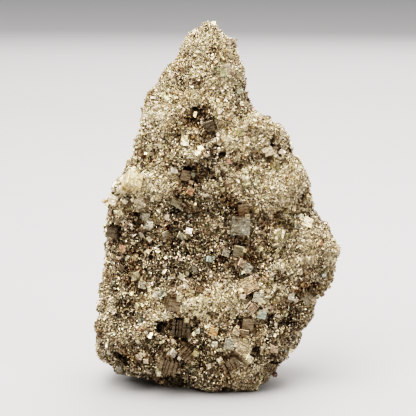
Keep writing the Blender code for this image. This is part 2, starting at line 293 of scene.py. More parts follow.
# %% The large crystals of the front
FRONT_CRYSTALS = (
    # x, height and edge length in millimetres, turns in degrees, tint, form if not plain
    (-42, 107, 8.5, -32, 24, 18, "gold"),
    (-44, 97, 4.5, 20, 35, 30, "dark"),
    (-38.5, 96, 5.5, -12, -20, 10, "tan"),
    (-51.5, 95.5, 6.5, -20, 15, -35, "cream", "stepped"),
    (-36, 89.5, 4.2, 5, 10, 25, "grey"),
    (-34, 85, 3.8, -40, 20, 15, "white"),
    (-51.5, 80.5, 7, 12, 8, -28, "dark", "stepped"),
    (-47.5, 71.5, 3.6, -10, 20, -20, "copper"),
    (-16, 110.5, 6, 8, 12, 16, "brown"),
    (-21.5, 112.5, 3.6, -35, 10, 20, "white"),
    (-19.5, 97.5, 5.6, 14, 28, -14, "olive", "stepped"),
    (-13.5, 102.5, 3.4, -15, 30, 10, "copper"),
    (-14, 81, 3.8, -38, 8, -12, "white"),
    (-8, 82.5, 3.6, -30, 28, 22, "teal", "shard"),
    (-18.5, 79.5, 4, -8, 30, 20, "green"),
    (-25.5, 80.5, 4, -6, -24, 16, "green"),
    (-2, 85, 5.4, -26, -14, 20, "cream", "shard"),
    (-4.5, 68.5, 3.8, -20, 15, 30, "teal"),
    (11, 85, 9.5, -5, 3, 8, "green", "pitted"),
    (12.5, 93.5, 6.2, 10, -6, 12, "brown"),
    (11, 72.5, 6.2, 6, 10, -10, "olive"),
    (11.5, 66.5, 4.2, -14, 30, 22, "pink"),
    (15.5, 64, 4.8, -10, 32, -14, "green"),
    (4, 71.5, 4.2, -8, 22, 14, "grey"),
    (25, 120.5, 5.2, -28, -14, 20, "tan"),
    (-3.5, 135, 6, 14, -16, -12, "dark"),
    (31.5, 80.5, 4.8, -20, 12, -16, "tan"),
    (45.5, 84, 5.5, -34, 20, -24, "tan", "stepped"),
    (-38, 54.5, 4.4, -20, 18, 22, "green"),
    (-31, 49.5, 3.4, -42, 30, 10, "white"),
    (-27.5, 51.5, 3.8, -24, -28, 16, "teal"),
    (-22, 48, 7.5, 10, 14, 16, "brown", "stepped"),
    (-9.5, 54.5, 4.2, -18, 20, 14, "brown"),
    (-18, 36, 9.2, 4, 5, 14, "dark", "ribbed"),
    (-1.5, 34, 4.4, -6, 14, -18, "orange"),
    (-22.5, 22.5, 3.6, -30, 44, 20, "white"),
    (-14, 23.5, 7.5, 20, 38, 12, "brown", "ribbed"),
    (-24, 17.5, 9, 24, 12, 10, "brown", "ribbed"),
    (15.5, 54.5, 9.2, -34, -24, 14, "brown", "stepped"),
    (19.5, 49.5, 6, -24, 16, 12, "grey"),
    (18, 45, 5.2, -14, 40, -20, "pink", "ribbed"),
    (21.5, 42, 5, 6, 14, 20, "teal"),
    (14.5, 37.5, 6.4, 8, 6, 16, "brown"),
    (13.5, 33, 5.4, 10, 6, -14, "brown"),
    (9, 33.5, 4.2, -22, 26, 10, "tan"),
    (5.5, 28, 5.6, -12, 18, 14, "green"),
    (11.5, 24, 8.5, -34, 36, 10, "tan", "stepped"),
    (6, 19, 8, 18, -30, 12, "brown", "ribbed"),
    (27.5, 23.5, 4.4, -18, 12, 26, "pink"),
    (27, 13.5, 6, 20, 16, 18, "brown", "ribbed"),
    (46, 46.5, 6.4, -10, 44, -20, "grey", "stepped"),
    (36.5, 47.5, 3.6, -36, 10, 20, "white"),
    (-3.5, 61.5, 4.2, -40, 6, 14, "white", "shard"),
)
OUTSIDE = 150 * MM
INTO_FRONT = Vector((0, 1, 0))

solid_skin = BVHTree.FromObject(SOLID, bpy.context.evaluated_depsgraph_get())


def on_solid(outside, direction):
    """Where a ray from outside meets the solid."""
    return solid_skin.ray_cast(Vector(outside), direction)[0]


def middle_behind(hit, direction, turn, edge):
    """A cube's middle, when a ray through it meets a face of the cube here."""
    along = turn.transposed() @ direction
    return hit + direction * (edge / 2) / max(abs(part) for part in along)


def front_places():
    places = []
    for x, height, edge, rx, ry, rz, tint, *form in FRONT_CRYSTALS:
        turn = Euler([math.radians(angle) for angle in (rx, ry, rz)]).to_matrix()
        hit = on_solid((x * MM, -OUTSIDE, height * MM), INTO_FRONT)
        if hit is not None:
            middle = middle_behind(hit, INTO_FRONT, turn, edge * MM)
            places.append((middle, turn, edge * MM, tint, *(form or ["plain"])))
    return places


large_crystals = front_places()
print(len(large_crystals), "large crystals on the front")

# %% The large crystals all round
CLUSTERS = 40
CLUSTER_SEED = 11
CLUSTER_HEIGHTS = (8.0, 172.0)
CLUSTER_CRYSTALS = (1, 4)
CLUSTER_LEAN = 0.5  # radians
CLUSTER_TAPER = 0.55
CLUSTER_SPREAD = 6.5
CLUSTER_EDGE = (3.0, 6.6)
CLUSTER_SHARE = 0.88  # of the solid's edge length, which leaves room for the grains around
CLUSTER_FORMS = ("plain", "plain", "stepped", "stepped", "pitted", "ribbed")
GOLDEN_ANGLE = 137.508
FRONT_ANGLE = 270  # where the hollow of the front is, with crystals of its own
FRONT_FAN = 34.0
BROW_HEIGHT = 106.0


def cluster_places():
    """Goes round the solid in the same spiral as the solid's own clusters."""
    rng = random.Random(CLUSTER_SEED)
    looks = random.Random(CLUSTER_SEED + 1)
    low, high = CLUSTER_HEIGHTS
    places = []
    for count in range(CLUSTERS):
        middle_height = low + (high - low) * (count + 0.5) / CLUSTERS
        degrees = (GOLDEN_ANGLE * count) % 360
        if abs(degrees - FRONT_ANGLE) < FRONT_FAN and middle_height < BROW_HEIGHT:
            continue
        angle = math.radians(degrees)
        outwards = Vector((math.cos(angle), math.sin(angle), 0))
        across = Vector((-outwards.y, outwards.x, 0))
        size = CLUSTER_EDGE[0] + (CLUSTER_EDGE[1] - CLUSTER_EDGE[0]) * rng.random()
        leader = [rng.uniform(0, math.pi / 2) for _ in range(3)]
        for _ in range(rng.randint(*CLUSTER_CRYSTALS)):
            height = middle_height + rng.uniform(-1, 1) * CLUSTER_SPREAD
            aside = rng.uniform(-1, 1) * CLUSTER_SPREAD
            edge = max(size * rng.uniform(CLUSTER_TAPER, 1.0), CLUSTER_EDGE[0]) * MM
            lean = [part + rng.uniform(-1, 1) * CLUSTER_LEAN for part in leader]
            rng.random()  # the solid draws here how far the crystal shows
            turn = Euler(lean).to_matrix()
            start = Vector((0, 0, height * MM)) + across * aside * MM + outwards * OUTSIDE
            hit = on_solid(start, -outwards)
            if hit is not None:
                form = looks.choice(CLUSTER_FORMS)
                middle = middle_behind(hit, -outwards, turn, edge)
                places.append((middle, turn, edge * CLUSTER_SHARE, None, form))
    return places


large_crystals += cluster_places()
print(len(large_crystals), "large crystals in all")

# %% [markdown]
# The crust still has the solid's cubes in it, under its relief. Pressed back towards the middle of
# each crystal, it can't show through the crisp faces that come.

# %% Room for them in the crust
ROOM = 0.8 * MM  # past a crystal's faces, where the crust is pressed back as well
ROOM_SHARE = 0.8  # of its distance from the crystal's middle, where it then lies


def make_room(piece):
    """Presses the crust back behind the faces of the large crystals."""
    ground = points_of(piece.data)
    for middle, turn, edge, _, _ in large_crystals:
        near = np.flatnonzero(np.abs(ground - np.array(middle)).max(axis=1) < edge + ROOM)
        local = (ground[near] - np.array(middle)) @ np.array(turn)
        inside = np.abs(local).max(axis=1) < edge / 2 + ROOM
        ground[near[inside]] = np.array(middle) + ROOM_SHARE * local[inside] @ np.array(turn).T
    move_to(piece, ground)


make_room(crust)
trim(crust)
print("the crust leaves", ROOM / MM, "mm around them")

# %% [markdown]
# ## Crystal forms
#
# Thousands of crystals need only a handful of forms. Each is modelled once, one unit across, with
# the tools one would use by hand: a primitive, then insets, extrusions and bevels. The grains have
# about ten triangles each, because there are tens of thousands of them, and the large crystals
# have growth steps and ribs, because the eye rests on them.

# %% Start a form, select faces in code
LOOKS_ALONG = 0.9  # of a face's normal, the part along an axis that it looks along


def start_form(name):
    piece = bpy.context.object
    piece.name = name
    return only(piece)


def new_cube(name, size=1.0):
    bpy.ops.mesh.primitive_cube_add(size=size)
    return start_form(name)


def looks_up(centre, normal):
    return normal.z > LOOKS_ALONG


def pick_faces(piece, wanted):
    """In edit mode, selects just the faces whose centre and normal pass the test."""
    bpy.ops.mesh.select_mode(type="FACE")
    bpy.ops.mesh.select_all(action="DESELECT")
    shape = bmesh.from_edit_mesh(piece.data)
    for face in shape.faces:
        face.select_set(wanted(face.calc_center_median(), face.normal))
    bmesh.update_edit_mesh(piece.data)


# %% Three forms of grain
BLOCK_END = (0.78, 0.90, 1.0)  # as a share of its foot
BLOCK_ASIDE = (0.06, 0, 0.05)
CORNER_RADIUS = 0.78
CORNER_HEIGHT = 0.9
CORNER_SIDES = (1, 0.85, 1)
SPLINTER_RADIUS = 0.66
SPLINTER_LENGTH = 1.1
SPLINTER_END = (0.55, 0.8, 1)


def cut_block():
    """A cube whose far end is smaller and stands aside, as a crowded crystal's does."""
    piece = new_cube("cut_block")
    with editing(piece):
        pick_faces(piece, looks_up)
        bpy.ops.transform.resize(value=BLOCK_END)
        bpy.ops.transform.translate(value=BLOCK_ASIDE)
    return piece


def corner_piece():
    """A cube's corner or an octahedron's tip, whichever way it lies: a low pyramid."""
    bpy.ops.mesh.primitive_cone_add(
        vertices=4, radius1=CORNER_RADIUS, radius2=0, depth=CORNER_HEIGHT
    )
    piece = start_form("corner_piece")
    with editing(piece):
        bpy.ops.transform.resize(value=CORNER_SIDES)
    return piece


def splinter():
    """A three-sided prism that narrows to one end."""
    bpy.ops.mesh.primitive_cylinder_add(
        vertices=3, radius=SPLINTER_RADIUS, depth=SPLINTER_LENGTH
    )
    piece = start_form("splinter")
    with editing(piece):
        pick_faces(piece, looks_up)
        bpy.ops.transform.resize(value=SPLINTER_END)
    return piece


# %% Plain cubes, tablets and shards
CUBE_BEVEL = 0.045
TABLET_SIDES = (1, 1, 0.55)
TABLET_RIM = 0.14
TABLET_STEP = (0.03, 0.02, 0.07)
SHARD_SIDES = (0.42, 0.42, 1)
SHARD_END = (0.45, 0.8, 1)
SHARD_ASIDE = (0.08, 0, 0)
SHARD_BEVEL = 0.04


def sharp_bevel(piece, width):
    apply_modifier(piece, "BEVEL", width=width, segments=1, limit_method="ANGLE")


def plain_cube():
    piece = new_cube("plain_cube")
    sharp_bevel(piece, CUBE_BEVEL)
    return piece


def tablet():
    """A cube that grew flat, with one stepped face."""
    piece = new_cube("tablet")
    with editing(piece):
        bpy.ops.transform.resize(value=TABLET_SIDES)
        pick_faces(piece, looks_up)
        bpy.ops.mesh.inset(thickness=TABLET_RIM)
        bpy.ops.transform.translate(value=TABLET_STEP)
    return piece


def shard():
    """A thin blade with slanted ends."""
    piece = new_cube("shard")
    with editing(piece):
        bpy.ops.transform.resize(value=SHARD_SIDES)
        pick_faces(piece, looks_up)
        bpy.ops.transform.resize(value=SHARD_END)
        bpy.ops.transform.translate(value=SHARD_ASIDE)
    sharp_bevel(piece, SHARD_BEVEL)
    return piece


# %% Stepped and pitted cubes
STEPPED_CORE = 0.92
STEP_RIM = 0.07
STEP_RISE = 0.028
TOP_STEP_RIM = 0.13
TOP_STEP_RISE = 0.022
TOP_STEP_FROM = 0.48  # how far out a face lies that the first step has raised
TOP_STEPS = (
    # axis, its side, how far the last step stands aside
    (0, 1, (0, 0.08, 0.05)),
    (1, -1, (0.07, 0, 0.06)),
    (2, 1, (-0.06, 0.05, 0)),
)
PIT_SEED = 8
PIT_CUTS = 3
PIT_SHARE = 0.3
PIT_RIM = 0.03
PIT_DEPTH = 0.03


def stepped_cube():
    """Growth steps: on every face a smaller layer, and on three of them one more."""
    piece = new_cube("stepped_cube", STEPPED_CORE)
    with editing(piece):
        bpy.ops.mesh.inset(thickness=STEP_RIM, use_individual=True)
        bpy.ops.mesh.extrude_region_shrink_fatten(
            TRANSFORM_OT_shrink_fatten={"value": STEP_RISE}
        )
        for axis, side, aside in TOP_STEPS:

            def raised(centre, normal):
                return side * normal[axis] > LOOKS_ALONG and abs(centre[axis]) > TOP_STEP_FROM

            pick_faces(piece, raised)
            bpy.ops.mesh.inset(thickness=TOP_STEP_RIM)
            bpy.ops.transform.translate(value=aside)
            rise = [0.0, 0.0, 0.0]
            rise[axis] = side * TOP_STEP_RISE
            bpy.ops.mesh.extrude_region_move(TRANSFORM_OT_translate={"value": rise})
    return piece


def pitted_cube():
    """A broad face with shallow angular pits, on a plain cube."""
    piece = new_cube("pitted_cube")
    rng = random.Random(PIT_SEED)
    with editing(piece):
        bpy.ops.mesh.select_mode(type="FACE")
        bpy.ops.mesh.subdivide(number_cuts=PIT_CUTS)
        pick_faces(piece, lambda centre, normal: rng.random() < PIT_SHARE)
        bpy.ops.mesh.inset(thickness=PIT_RIM, depth=-PIT_DEPTH, use_individual=True)
    return piece


# %% Ribbed blocks
RIBS = 7
RIB_SEED = 5
RIB_WIDTH = 1.25 / RIBS
RIB_LENGTH = 0.86
RIB_SPREAD = 0.14
RIB_LEAN = (6, 16)  # degrees


def rib(place, rng):
    """One plate, leaning to the other side than the one before."""
    x = -0.5 + (place + 0.5) / RIBS
    bpy.ops.mesh.primitive_cube_add(size=1, location=(x, 0, 0))
    leaf = start_form("leaf")
    lengths = [RIB_LENGTH + RIB_SPREAD * rng.random() for _ in range(2)]
    lean = math.radians(rng.uniform(*RIB_LEAN)) * (-1) ** place
    with editing(leaf):
        bpy.ops.transform.resize(value=(RIB_WIDTH, *lengths), center_override=(x, 0, 0))
        pick_faces(leaf, lambda centre, normal: abs(normal.y) > LOOKS_ALONG)
        bpy.ops.transform.rotate(value=lean, orient_axis="Z", center_override=(x, 0, 0))
    return leaf


def ribbed_block():
    """Plates that grew side by side to different lengths, like the pages of a book."""
    rng = random.Random(RIB_SEED)
    leaves = [rib(place, rng) for place in range(RIBS)]
    for leaf in leaves:
        leaf.select_set(True)
    bpy.context.view_layer.objects.active = leaves[0]
    bpy.ops.object.transform_apply(location=True, rotation=True, scale=True)
    bpy.ops.object.join()
    leaves[0].name = "ribbed_block"
    return leaves[0]


# %% [markdown]
# ## From one form to thousands of crystals
#
# A modelled form is read once into arrays: its corners, its faces and two maps. The first map
# gives every crystal a small square of its own, so that its colour can later be painted to an
# image. The second measures along each face, which is the direction that growth lines follow: on
# pyrite they run at right angles on neighbouring faces. One multiplication then turns, sizes and
# places all the copies, and a single mesh takes them.

# %% Read a form
ISLAND_MARGIN = 0.02


class Form:
    """A modelled crystal as arrays, ready to be copied."""

    def __init__(self, piece, whole_square):
        mesh = piece.data
        if not whole_square:
            with editing(piece):
                bpy.ops.uv.smart_project(island_margin=ISLAND_MARGIN)
        self.corners = points_of(mesh)
        self.loops = np.array([loop.vertex_index for loop in mesh.loops])
        self.starts = np.array([face.loop_start for face in mesh.polygons])
        self.square = np.zeros((len(self.loops), 2))
        self.along = np.zeros((len(self.loops), 2))
        for face in mesh.polygons:
            self.measure(mesh, face, whole_square)
        self.triangles = sum(len(face.vertices) - 2 for face in mesh.polygons)
        bpy.data.objects.remove(piece)

    def measure(self, mesh, face, whole_square):
        """Lays this face in the two maps."""
        axis = max(range(3), key=lambda part: abs(face.normal[part]))
        across, up = (axis + 1) % 3, (axis + 2) % 3
        for turn, loop in enumerate(face.loop_indices):
            place = self.corners[self.loops[loop]]
            self.along[loop] = place[across], place[up]
            if whole_square:
                angle = math.tau * turn / len(face.vertices)
                self.square[loop] = 0.5 + 0.5 * math.cos(angle), 0.5 + 0.5 * math.sin(angle)
            else:
                self.square[loop] = mesh.uv_layers.active.data[loop].uv


grain_forms = [Form(make(), True) for make in (cut_block, corner_piece, splinter)]
crystal_forms = {
    "plain": Form(plain_cube(), False),
    "flat": Form(tablet(), False),
    "stepped": Form(stepped_cube(), False),
    "ribbed": Form(ribbed_block(), False),
    "pitted": Form(pitted_cube(), False),
    "shard": Form(shard(), False),
}
print("triangles in a grain:", [form.triangles for form in grain_forms])
print("triangles in a crystal:", {name: form.triangles for name, form in crystal_forms.items()})

# %% Join copies of the forms in one mesh
SQUARE_FILL = 0.86  # of each crystal's square in the map, what its faces use


class Copies:
    """What says where the copies of the forms go and how they look, one row for each."""

    def __init__(self, kinds, middles, turns, sizes, tints, dullness):
        self.kinds = np.asarray(kinds)
        self.middles = np.asarray(middles, float)
        self.turns = np.asarray(turns, float)
        self.sizes = np.asarray(sizes, float)
        self.tints = np.asarray(tints, float)
        self.dullness = np.asarray(dullness, float)

    def part(self, rows):
        """Just these rows, in the same order of columns."""
        return Copies(*(column[rows] for column in vars(self).values()))


def kept_inside(corners):
    """Shifts each copy that would reach past the solid's box back to its limit."""
    short = np.clip(LOW - corners.min(axis=1), 0, None)
    over = np.clip(corners.max(axis=1) - HIGH, 0, None)
    return corners + (short - over)[:, None, :]


def joined(name, forms, copies):
    """One mesh with every copy in it."""
    count = len(copies.kinds)
    grid = math.ceil(math.sqrt(count))
    batches = []
    corner_base, loop_base = 0, 0
    for kind, form in enumerate(forms):
        rows = np.flatnonzero(copies.kinds == kind)
        if not len(rows):
            continue
        sized = form.corners[None] * copies.sizes[rows][:, None, :]
        placed = np.einsum("nij,nvj->nvi", copies.turns[rows], sized)
        placed = kept_inside(placed + copies.middles[rows][:, None, :])
        each_corner = np.arange(len(rows))[:, None] * len(form.corners) + corner_base
        each_loop = np.arange(len(rows))[:, None] * len(form.loops) + loop_base
        cell = np.stack((rows % grid, rows // grid), axis=1)[:, None, :]
        square = form.square * SQUARE_FILL + (1 - SQUARE_FILL) / 2
        length = copies.sizes[rows].mean(axis=1)[:, None, None]
        batch = (
            placed.reshape(-1, 3),
            (form.loops[None] + each_corner).ravel(),
            (form.starts[None] + each_loop).ravel(),
            ((cell + square[None]) / grid).reshape(-1, 2),
            (form.along[None] * length / MM).reshape(-1, 2),
            np.repeat(copies.tints[rows], len(form.corners), axis=0),
            np.repeat(copies.dullness[rows], len(form.corners)),
        )
        batches.append(batch)
        corner_base += len(rows) * len(form.corners)
        loop_base += len(rows) * len(form.loops)
    piece = mesh_of(name, *map(np.concatenate, zip(*batches)))
    print(name, "has", count, "crystals,", len(piece.data.loop_triangles), "triangles")
    return piece


def mesh_of(name, corners, loops, starts, squares, alongs, tints, dulls):
    """An object whose mesh is made from these arrays, with both maps and both attributes."""
    mesh = bpy.data.meshes.new(name)
    mesh.vertices.add(len(corners))
    mesh.loops.add(len(loops))
    mesh.polygons.add(len(starts))
    mesh.vertices.foreach_set("co", corners.astype(np.float32).ravel())
    mesh.loops.foreach_set("vertex_index", loops.astype(np.int32))
    mesh.polygons.foreach_set("loop_start", starts.astype(np.int32))
    mesh.update(calc_edges=True)
    mesh.shade_flat()
    for layer, places in (("OFBake", squares), ("along", alongs)):
        made = mesh.uv_layers.new(name=layer)
        made.uv.foreach_set("vector", places.astype(np.float32).ravel())
    tints = np.concatenate((tints, np.ones((len(tints), 1))), axis=1)
    colour = mesh.color_attributes.new("tint", "FLOAT_COLOR", "POINT")
    colour.data.foreach_set("color", tints.astype(np.float32).ravel())
    note(mesh, "dull", dulls)
    mesh.calc_loop_triangles()
    return in_scene(name, mesh)


# %% [markdown]
# ## The colours of pyrite
#
# Fresh pyrite is a pale brass. It tarnishes unevenly: to bronze and brown where air and water
# reach it, and here and there to a thin film in grey-green, teal, copper or pink. Each crystal
# has one tint of its own, and in a hollow the dark and coloured ones are more common.

# %% Tints, and how often they come
TINTS = {
    "pale": (0.80, 0.69, 0.49),
    "warm": (0.68, 0.56, 0.35),
    "cream": (0.87, 0.76, 0.58),
    "white": (0.86, 0.81, 0.68),
    "gold": (0.97, 0.79, 0.49),
    "tan": (0.52, 0.43, 0.30),
    "brown": (0.24, 0.185, 0.125),
    "dark": (0.12, 0.095, 0.065),
    "olive": (0.24, 0.21, 0.14),
    "grey": (0.37, 0.33, 0.25),
    "green": (0.42, 0.39, 0.30),
    "teal": (0.41, 0.46, 0.38),
    "copper": (0.54, 0.30, 0.19),
    "orange": (0.62, 0.38, 0.20),
    "pink": (0.50, 0.37, 0.26),
}
SHARES_ON_BULGES = {"pale": 60, "cream": 22, "warm": 12, "tan": 5, "grey": 1}
SHARES_IN_HOLLOWS = {
    "pale": 20,
    "warm": 18,
    "cream": 9,
    "tan": 17,
    "brown": 15,
    "dark": 6,
    "grey": 5,
    "green": 4,
    "teal": 1,
    "copper": 1.3,
    "pink": 2,
}
STRENGTH = 1.04
STRENGTH_LOST = 0.16  # by a full tarnish
SCATTER = 0.10
SCATTER_ADDED = 0.12  # by a full tarnish
HUE_SCATTER = 0.06
BRIGHTEST = 0.96
GRAIN_SEED = 23

rng = np.random.default_rng(GRAIN_SEED)


def drawn_tints(shares, count):
    """For each crystal a tint, drawn by the shares."""
    names = list(shares)
    odds = np.array([shares[name] for name in names], float)
    picks = rng.choice(len(names), size=count, p=odds / odds.sum())
    return np.array([TINTS[name] for name in names])[picks]


def tints_at(tarnish_and_painted_light):
    """Tints for crystals by this measure of tarnish, which on the front carries painted light and
    shade as well, each with a little scatter in its strength.
    """
    plain = drawn_tints(SHARES_ON_BULGES, len(tarnish_and_painted_light))
    tarnished = drawn_tints(SHARES_IN_HOLLOWS, len(tarnish_and_painted_light))
    inside = (rng.random(len(tarnish_and_painted_light)) < tarnish_and_painted_light)[:, None]
    scatter = SCATTER + SCATTER_ADDED * np.clip(tarnish_and_painted_light, 0, 1)
    strength = STRENGTH - STRENGTH_LOST * tarnish_and_painted_light + rng.uniform(-1, 1, len(tarnish_and_painted_light)) * scatter
    film = rng.uniform(-HUE_SCATTER, HUE_SCATTER, (len(tarnish_and_painted_light), 3))
    tints = np.where(inside, tarnished, plain) * (strength[:, None] + film)
    return np.clip(tints, 0, BRIGHTEST)


print(len(TINTS), "tints, drawn by", len(SHARES_ON_BULGES), "and", len(SHARES_IN_HOLLOWS), "shares")


# %% Turns
def random_turns(count):
    """Turns spread evenly over all directions, as matrices."""
    quaternion = rng.normal(size=(count, 4))
    w, x, y, z = (quaternion / np.linalg.norm(quaternion, axis=1)[:, None]).T
    rows = (
        (1 - 2 * (y * y + z * z), 2 * (x * y - w * z), 2 * (x * z + w * y)),
        (2 * (x * y + w * z), 1 - 2 * (x * x + z * z), 2 * (y * z - w * x)),
        (2 * (x * z - w * y), 2 * (y * z + w * x), 1 - 2 * (x * x + y * y)),
    )
    return np.array(rows).transpose(2, 0, 1)


# %% [markdown]
# ## Where the metal is tarnished, and where light and shade are painted
#
# Tarnish gathers in the hollows, and in patches. The front also has zones of its own: the list
# makes an ellipse of skin fresher or more tarnished, most so in its middle. These zones are
# partly tarnish and partly painted light and shade: paler where the peak, the left shoulder, the
# right flank and the ledge take the light, darker as painted shade below the left shoulder, in the
# undercut, in the hollow of the front and in single pits.

# %% Tarnish, and painted light and shade
PAINTED_LIGHT_AND_TARNISH_ZONES = (
    # middle x and height, half width and half height in millimetres, change in the middle:
    # below 0 paler, partly painted light, above 0 darker, partly painted shade
    # paler on the peak, the left shoulder, the right flank and the ledge: partly fresh metal, partly
    # painted light
    (-8, 158, 40, 34, -0.30),  # the peak is pale,
    (-9, 140, 12, 9, -0.40),
    (8, 145, 18, 17, -0.45),
    (12, 120, 18, 18, -0.55),
    (-42, 114, 24, 26, -0.35),  # and so are the left shoulder,
    (34, 94, 30, 34, -0.40),  # the right flank
    (-2, 48.5, 40, 14, -1.5),  # and the ledge
    (-42, 44, 18, 12, -0.20),
    (14, 26, 14, 9, -0.25),
    # darker below the left shoulder, in the undercut, in the hollow and in single pits: partly
    # tarnish, partly painted shade
    (-50, 64, 25, 21, 1.10),  # tarnished, below the left shoulder
    (-52, 14, 26, 26, 1.00),
    (-24, 12, 30, 15, 1.00),  # in the undercut
    (36, 16, 24, 20, 0.75),
    (52, 44, 18, 22, 0.85),
    (-8, 74, 36, 28, 0.70),
    (-20, 26, 18, 18, 0.95),
    (-18, 68, 40, 14, 0.40),
    (-45.5, 42, 7, 6, 1.8),  # and in single pits
    (-40, 87, 6, 5, 1.0),
    (-1, 120, 8, 5, 1.0),
    (-11, 138, 7, 5, 1.0),
)
ZONE_DEPTH = 20 * MM
FRESHEST, MOST_TARNISHED = -0.7, 1.4
PATCH_SIZE = 8 * MM
PATCH_STRENGTH = 0.55


def tarnish_and_painted_light_at(points, depth_in):
    """How tarnished the metal is, mostly from 0 to 1: by how sunken it is, in patches, by zone;
    the zones of the front also paint light and shade.
    """
    patches = np.array([noise.noise(Vector(point) / PATCH_SIZE) for point in points])
    tarnish_and_painted_light = depth_in + PATCH_STRENGTH * patches
    in_front = np.clip(-points[:, 1] / ZONE_DEPTH, 0, 1)
    for x, height, half_width, half_height, change in PAINTED_LIGHT_AND_TARNISH_ZONES:
        across = (points[:, 0] / MM - x) / half_width
        up = (points[:, 2] / MM - height) / half_height
        tarnish_and_painted_light += change * in_front * np.clip(1 - across**2 - up**2, 0, 1) ** 0.5
    return np.clip(tarnish_and_painted_light, FRESHEST, MOST_TARNISHED)


# %% [markdown]
# ## Sites on the crust
#
# Every square of the crust is a site where a crystal could grow. Its centre and its normal say
# where, and how sunken it is says which kind. The underside, where the specimen was cut, has none.
# With the sites noted, the crust itself needs only half its faces, and a measure of its tarnish,
# which on the front carries painted light and shade as well.

# %% Sites
UNDERSIDE_HEIGHT = 0.5 * MM
UNDERSIDE_FACING = -0.6
CRUST_KEPT = 0.5

sites = rows_of(crust.data.polygons, "center")
facings = rows_of(crust.data.polygons, "normal")
outside = (sites[:, 2] > UNDERSIDE_HEIGHT) | (facings[:, 2] > UNDERSIDE_FACING)
sites, facings = sites[outside], facings[outside]
hollow = sunken(sites)
tarnish_and_painted_light = tarnish_and_painted_light_at(sites, hollow)
print(len(sites), "sites, mean hollow", hollow.mean().round(3), "and tarnish", tarnish_and_painted_light.mean().round(3))

apply_modifier(crust, "DECIMATE", ratio=CRUST_KEPT)
trim(crust)
corners = points_of(crust.data)
note(crust.data, "tarnish_and_painted_light", tarnish_and_painted_light_at(corners, sunken(corners)))
print("inner crust, thinned to what the gaps show:", len(crust.data.polygons), "faces")


# %% Keep clear of the large crystals
def clear_of_large(points, margin):
    """True where a point lies outside every large crystal, by this margin."""
    clear = np.ones(len(points), bool)
    for middle, turn, edge, _, _ in large_crystals:
        near = np.flatnonzero(np.abs(points - np.array(middle)).max(axis=1) < edge)
        local = (points[near] - np.array(middle)) @ np.array(turn)
        clear[near] &= np.abs(local).max(axis=1) > edge / 2 + margin
    return clear


# %% [markdown]
# ## The large and the middling crystals
#
# The large crystals take the places of the solid's cubes. Between them come many middling ones,
# mostly in the hollows, where there was room to grow.

# %% Large crystals
FORM_NAMES = list(crystal_forms)
FORMS = list(crystal_forms.values())
COMPANIONS = 4
COMPANION_EDGE = (0.20, 0.45)  # of the large crystal's own
TONED_TARNISH = 0.35
TONED_STRENGTH = 0.92
SIDES_ALL_ROUND = (0.78, 1.0)
SIDES_ON_THE_FRONT = (0.88, 1.0)
LARGE_DULLNESS = 0.20
PALE_DULLNESS = 0.34  # more than that, for a white one
DULLNESS_SCATTER = 0.03


def companions_of(middle, turn, edge, tint, form):
    """Smaller crystals that grew parallel to a large one and break up its outline."""
    made = []
    for _ in range(0 if form == "pitted" else COMPANIONS):
        small = edge * rng.uniform(*COMPANION_EDGE)
        aside = rng.choice((-0.5, 0.5), 3)
        aside[rng.integers(3)] = rng.uniform(-0.5, 0.5)
        place = np.array(middle) + np.array(turn) @ (aside * edge)
        made.append((place, turn, small, None, "plain"))
    return made


def toned(crystal):
    """The tint of a large crystal without one of its own: that of the skin around it."""
    middle, _, _, tint, _ = crystal
    if tint is not None:
        return TINTS[tint]
    there = np.array([middle])
    around = np.clip(tarnish_and_painted_light_at(there, sunken(there)) + TONED_TARNISH, 0, 1)
    return tints_at(around)[0] * TONED_STRENGTH


stepwise = [small for crystal in large_crystals for small in companions_of(*crystal)]
everyone = large_crystals + stepwise
scatter = rng.uniform(*SIDES_ALL_ROUND, (len(everyone), 3))
scatter[: len(FRONT_CRYSTALS)] = rng.uniform(*SIDES_ON_THE_FRONT, (len(FRONT_CRYSTALS), 3))
large_tints = np.array([toned(crystal) for crystal in everyone])
large = Copies(
    kinds=[FORM_NAMES.index(form) for _, _, _, _, form in everyone],
    middles=[middle for middle, _, _, _, _ in everyone],
    turns=[np.array(turn) for _, turn, _, _, _ in everyone],
    sizes=np.array([[edge] * 3 for _, _, edge, _, _ in everyone]) * scatter,
    tints=large_tints,
    dullness=LARGE_DULLNESS
    + PALE_DULLNESS * large_tints.mean(axis=1)
    + rng.uniform(-DULLNESS_SCATTER, DULLNESS_SCATTER, len(everyone)),
)
large_piece = joined("large_crystals", FORMS, large)

# %% Middling crystals
MIDDLING = 2600
MIDDLING_MARGIN = 0.2 * MM
MIDDLING_KINDS = ("plain", "plain", "flat", "flat", "flat", "shard")
MIDDLING_EDGE = (1.4, 3.2)
MIDDLING_FEW_LONG = 2.2  # the higher, the fewer of the longer edges
MIDDLING_SIDES = (0.75, 1.1)
MIDDLING_LIFT = 0.32  # of the edge, at most
MIDDLING_TARNISH = 0.1  # more than the skin has
MIDDLING_DULLNESS = (0.16, 0.42)
FRESH_DULLNESS = 0.15  # more where the skin is fresh
ODDS_ANYWHERE = 0.12
ODDS_FRONT_AND_BACK = 0.5
FRONT_OR_BACK = 0.6  # how straight the skin there looks forward or back


def spread(span, shares):
    """Values between the ends of a span, this share of the way from the first to the second."""
    return span[0] + (span[1] - span[0]) * shares


def free_sites(count, margin):
    """Draws this many sites by the odds and keeps those that are clear of the large crystals."""
    straight = np.abs(facings[:, 1]) > FRONT_OR_BACK
    odds = ODDS_ANYWHERE + hollow**2 + ODDS_FRONT_AND_BACK * straight * hollow
    picks = rng.choice(len(sites), size=count, replace=False, p=odds / odds.sum())
    return picks[clear_of_large(sites[picks], margin)]


